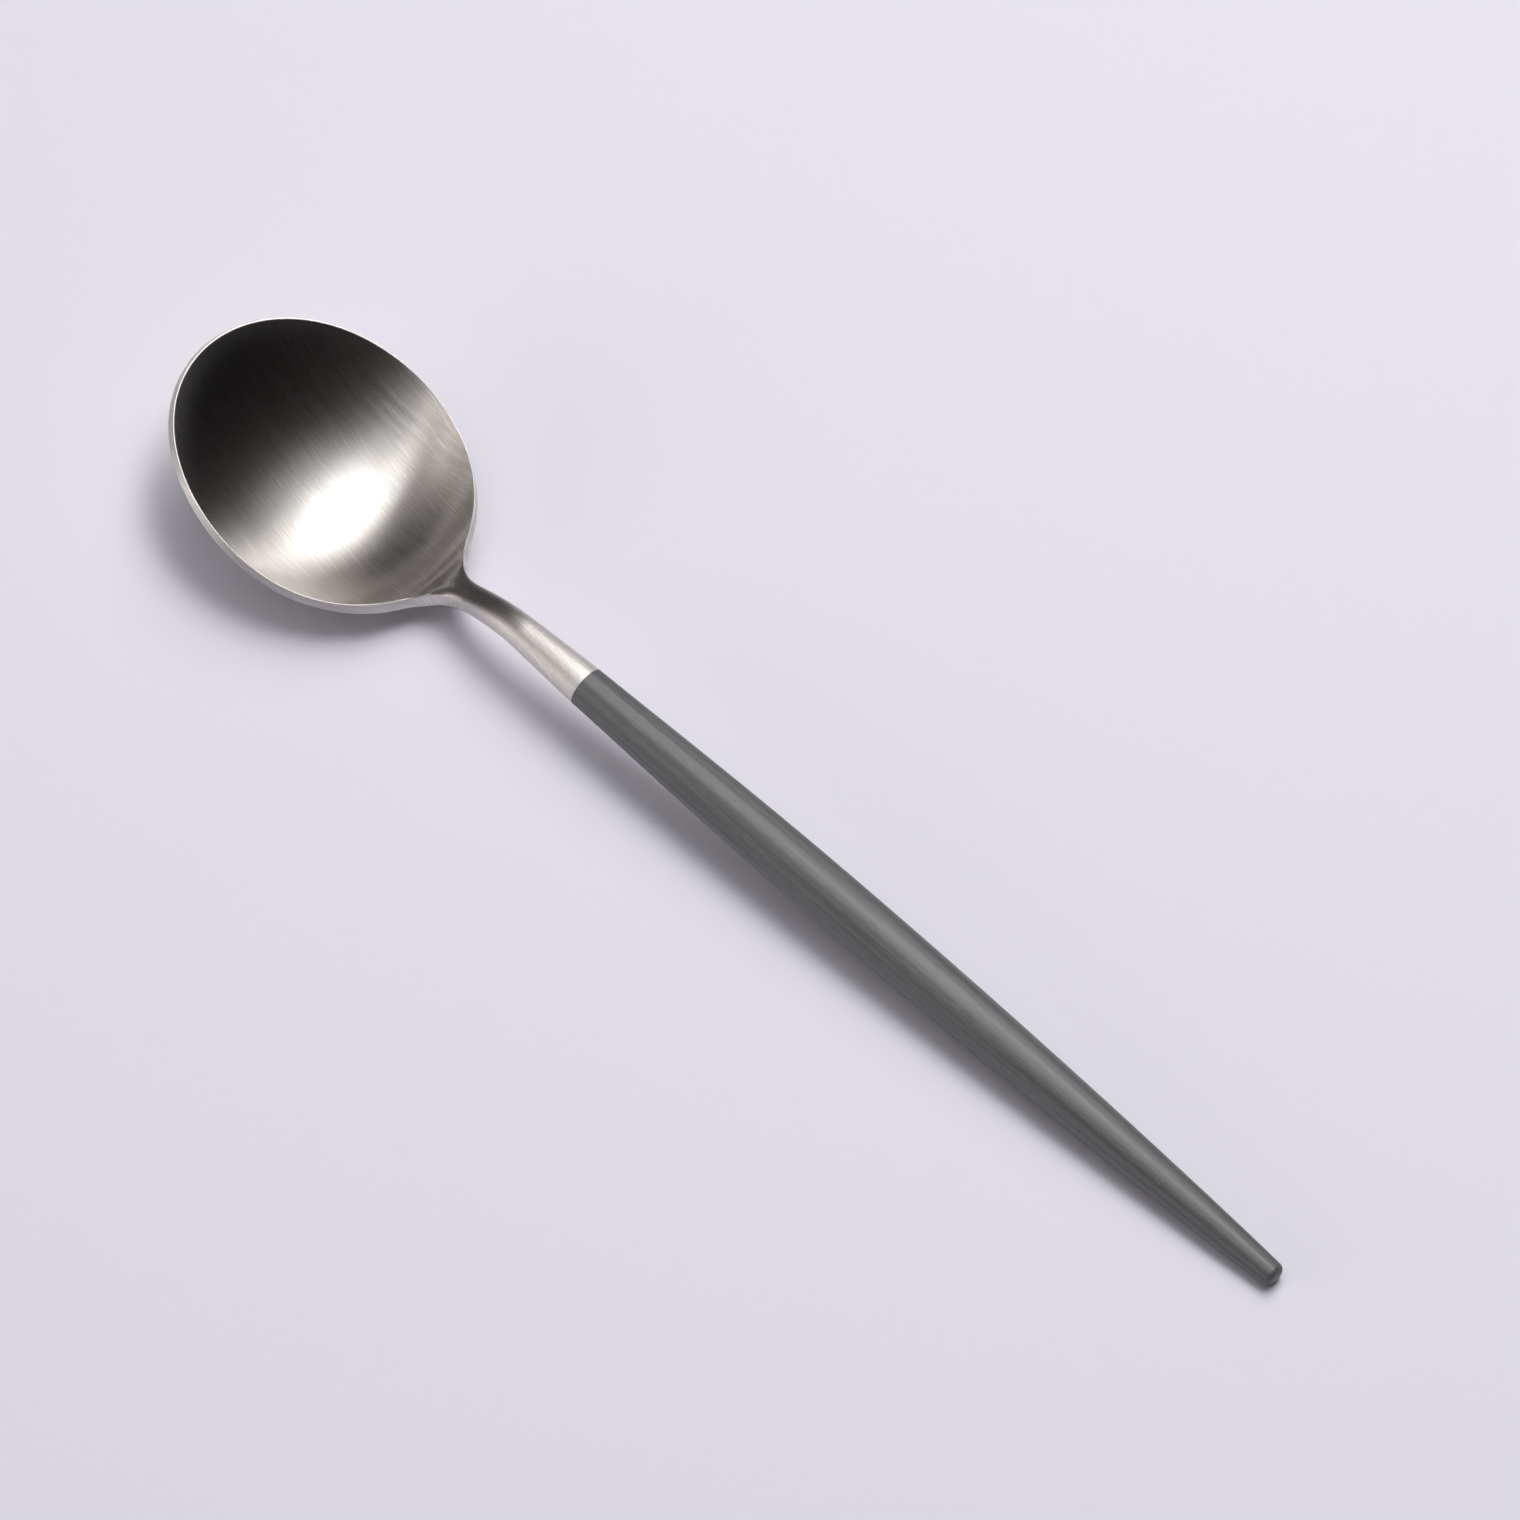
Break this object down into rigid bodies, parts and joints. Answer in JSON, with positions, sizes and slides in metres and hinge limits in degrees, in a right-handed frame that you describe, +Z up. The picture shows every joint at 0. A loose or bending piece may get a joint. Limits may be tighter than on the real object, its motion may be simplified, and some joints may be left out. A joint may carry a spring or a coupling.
{
  "type": "soup spoon",
  "caption": "Soup spoon with a deep oval steel bowl, a slim forged neck and a turned, tapering resin handle glued over a hidden tang.",
  "frame": {"origin": "on the table, under the middle of the spoon's length", "axes": "+X along the spoon from the bowl towards the end of the handle, +Y across it, +Z up from the table"},
  "size_m": [0.2146, 0.0418, 0.0198],
  "materials": {
    "brushed_steel": "satin, brushed along its length",
    "grey_resin": "satin, finely brushed along its length",
    "adhesive": "cured resin, hidden"
  },
  "bodies": {
    "root": {"steel_head": "brushed_steel", "handle": "grey_resin", "tang_adhesive": "adhesive"}
  },
  "joints": []
}
